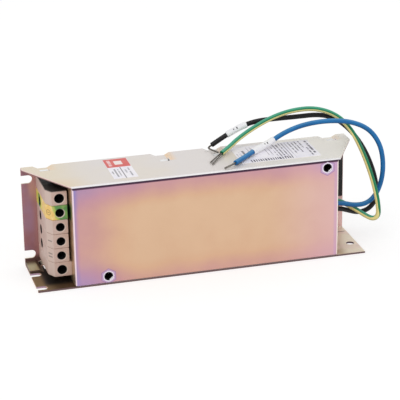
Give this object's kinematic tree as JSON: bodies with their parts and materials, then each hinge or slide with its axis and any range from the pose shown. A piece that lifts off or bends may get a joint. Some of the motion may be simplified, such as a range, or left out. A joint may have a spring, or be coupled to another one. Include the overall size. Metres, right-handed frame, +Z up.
{
  "type": "emi line filter",
  "caption": "Long narrow line filter in a folded sheet-metal case, with a strip of screw terminals at one end and free leads at the other.",
  "frame": {"origin": "middle of the foot wall's underside, on which the object stands", "axes": "+X along the length from the terminal end to the lead end, +Y from the front plate to the back plate, +Z up as it stands in the picture"},
  "size_m": [0.2527, 0.0492, 0.0964],
  "materials": {
    "chromated_sheet": "zinc plated, yellow iridescent chromate",
    "chromated_nut": "zinc plated, lilac iridescent chromate",
    "black_film": "matte insulating film",
    "terminal_moulding": "matte moulded beige grey",
    "earth_terminal_moulding": "matte moulded, green and yellow",
    "clamp_brass": "nickel plated brass",
    "screw_steel": "zinc plated",
    "board_laminate": "glass epoxy laminate",
    "ferrite": "coated ferrite",
    "black_moulding": "moulded",
    "winding_copper": "enamelled copper",
    "capacitor_case": "moulded box",
    "small_capacitor_case": "moulded box",
    "resistor_body": "lacquered",
    "grommet_rubber": "matte",
    "blue_insulation": "satin insulation",
    "earth_insulation": "green with a yellow stripe",
    "black_insulation": "satin insulation",
    "tinned_copper": "tinned copper strands",
    "white_sleeve": "satin",
    "label_film": "printed film"
  },
  "bodies": {
    "root": {"chassis": "chromated_sheet", "front_cover": "chromated_sheet", "clinch_nuts": "chromated_nut", "insulating_liner": "black_film", "terminal_end_low": "terminal_moulding", "terminal_neutral": "terminal_moulding", "terminal_line": "terminal_moulding", "terminal_spare": "terminal_moulding", "terminal_earth": "earth_terminal_moulding", "terminal_end_high": "terminal_moulding", "terminal_clamps": "clamp_brass", "terminal_screws": "screw_steel", "strip_fixing_screws": "screw_steel", "circuit_board": "board_laminate", "board_spacers": "screw_steel", "board_screws": "screw_steel", "choke_core": "ferrite", "choke_cradle": "black_moulding", "choke_coil_line": "winding_copper", "choke_coil_neutral": "winding_copper", "x_capacitor_input": "capacitor_case", "x_capacitor_output": "capacitor_case", "y_capacitors": "small_capacitor_case", "discharge_resistor": "resistor_body", "lead_grommet": "grommet_rubber", "inner_lead_line": "blue_insulation", "inner_lead_earth": "earth_insulation", "inner_lead_neutral": "black_insulation", "lead_line": "blue_insulation", "lead_earth": "earth_insulation", "lead_neutral": "black_insulation", "link_line": "blue_insulation", "link_neutral": "black_insulation", "link_earth": "earth_insulation", "conductor_line": "tinned_copper", "conductor_earth": "tinned_copper", "conductor_neutral": "tinned_copper", "marker_sleeve_line": "white_sleeve", "marker_sleeve_neutral": "white_sleeve", "label_left": "label_film", "label_right": "label_film"}
  },
  "joints": []
}
